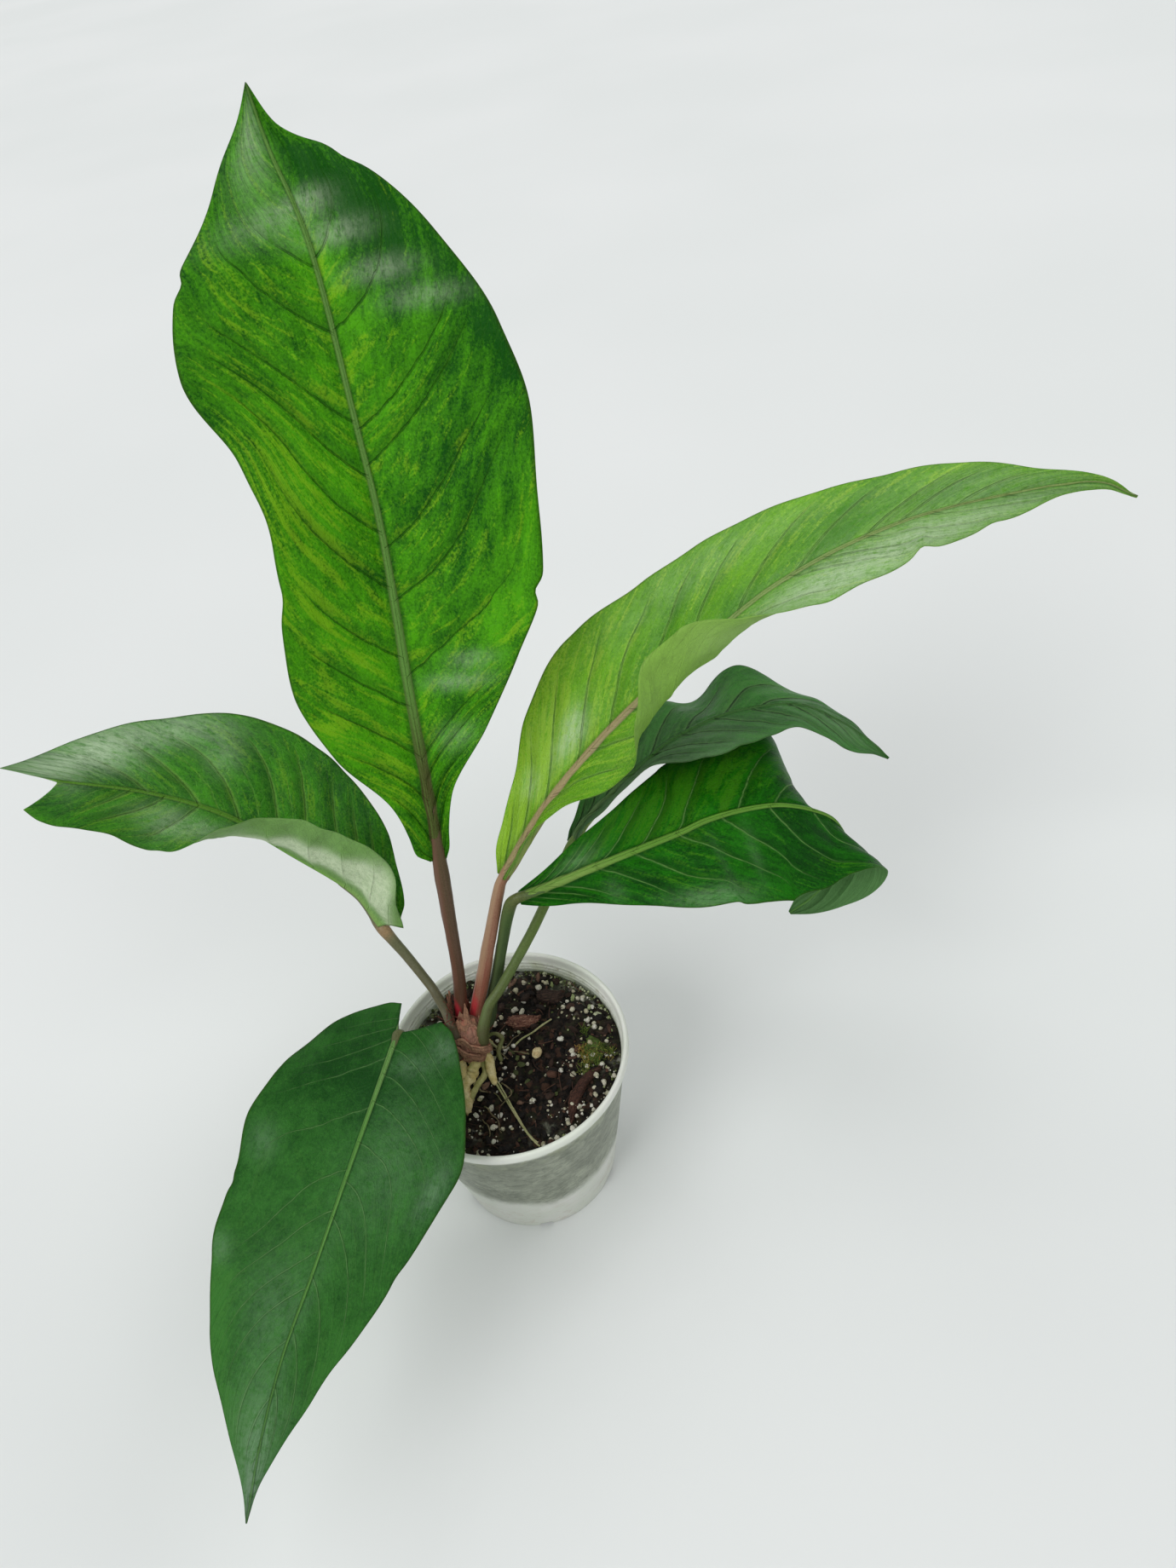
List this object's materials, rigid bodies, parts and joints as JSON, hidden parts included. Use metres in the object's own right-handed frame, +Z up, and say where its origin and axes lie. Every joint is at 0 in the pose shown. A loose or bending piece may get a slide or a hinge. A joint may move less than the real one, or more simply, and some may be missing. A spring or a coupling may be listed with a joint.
{
  "type": "potted anthurium plant",
  "caption": "Young anthurium with broad pointed blades on long stalks, held on stilt roots in peat and bark in a translucent nursery pot.",
  "frame": {"origin": "on the floor under the centre of the whole plant's outline, spread leaves included; the pot's own centre line stands at x = -47 mm, y = +18 mm", "axes": "+Z up along the pot's centre line; +X to the right and +Y away from the viewer as pictured, so the lime leaf reaches out to +X and the drooping leaf to -X and -Y"},
  "size_m": [0.4023, 0.2848, 0.4344],
  "materials": {
    "frosted_plastic": "frosted, translucent",
    "peat": "crumbly, matt",
    "crown": "ringed, papery",
    "papery_bract": "papery, matt",
    "leaf_green": "satin leaf",
    "leaf_lime": "glossy young leaf",
    "leaf_dark": "matt mature leaf",
    "stalk_brown": "satin",
    "stalk_pink": "satin",
    "stalk_green": "satin",
    "root_skin": "matt root bark",
    "bark": "rough bark",
    "perlite": "porous, matt",
    "moss": "fibrous, matt"
  },
  "bodies": {
    "root": {"pot": "frosted_plastic", "soil": "peat", "stem": "crown", "bract_front": "papery_bract", "bract_left": "papery_bract", "bract_back": "papery_bract", "leaf_upright": "leaf_green", "leaf_left": "leaf_green", "leaf_lime": "leaf_lime", "leaf_rear": "leaf_dark", "leaf_front": "leaf_dark", "leaf_drooping": "leaf_dark", "petiole_upright": "stalk_brown", "petiole_left": "stalk_brown", "petiole_drooping": "stalk_brown", "petiole_lime": "stalk_pink", "petiole_front": "stalk_green", "petiole_rear": "stalk_green", "root_left": "root_skin", "root_knobbly": "root_skin", "root_middle": "root_skin", "root_blunt": "root_skin", "root_rear_left": "root_skin", "root_rear_right": "root_skin", "root_to_rim": "root_skin", "root_surface": "root_skin", "bark_red": "bark", "bark_curved": "bark", "bark_dark": "bark", "pebble": "perlite", "moss_tuft": "moss", "perlite_1": "perlite", "perlite_2": "perlite", "perlite_3": "perlite", "perlite_4": "perlite", "perlite_5": "perlite", "perlite_6": "perlite", "perlite_7": "perlite", "perlite_8": "perlite"}
  },
  "joints": []
}
